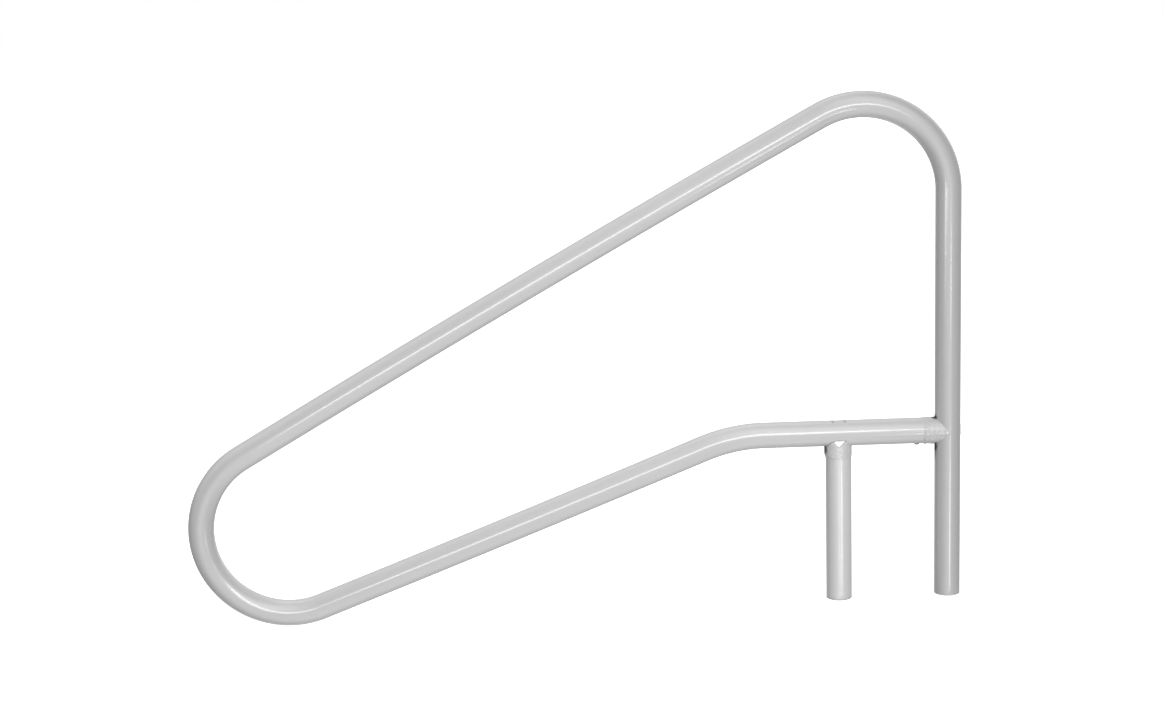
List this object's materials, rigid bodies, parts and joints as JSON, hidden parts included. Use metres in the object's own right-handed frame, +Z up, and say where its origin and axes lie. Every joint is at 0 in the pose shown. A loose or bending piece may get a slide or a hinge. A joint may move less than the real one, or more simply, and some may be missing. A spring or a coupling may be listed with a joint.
{
  "type": "pool handrail",
  "caption": "Figure-four pool handrail: one bent coated tube with post, sloping grip loop and crossbar bolted back to its own post, plus a short support leg, for deck anchors.",
  "frame": {"origin": "centre of the post's foot, on the underside of its end plug", "axes": "+Z up along the post; +X from the support leg towards the post, so the rail reaches out along -X; the rail lies in the XZ plane and +Y is normal to it"},
  "size_m": [1.4361, 0.0508, 0.9622],
  "materials": {
    "coated_tube": "smooth light grey coat over metal tube, glossy, very faint orange peel",
    "joint_collar": "the same light grey coat, slightly rougher and uneven",
    "white_nylon": "natural white nylon, satin",
    "fastener": "stainless steel, satin",
    "grey_plug": "moulded grey plastic, satin"
  },
  "bodies": {
    "root": {"rail_tube": "coated_tube", "support_leg": "coated_tube", "crossbar_collar": "joint_collar", "leg_collar": "joint_collar", "crossbar_insert": "white_nylon", "leg_insert": "white_nylon", "crossbar_bolt": "fastener", "leg_bolt": "fastener", "crossbar_saddle_washer": "fastener", "leg_saddle_washer": "fastener", "crossbar_lock_washer": "fastener", "leg_lock_washer": "fastener", "crossbar_nut": "fastener", "leg_nut": "fastener", "insert_screw": "fastener", "post_access_plug": "grey_plug", "crossbar_access_plug": "grey_plug", "post_end_plug": "grey_plug", "leg_end_plug": "grey_plug"}
  },
  "joints": []
}
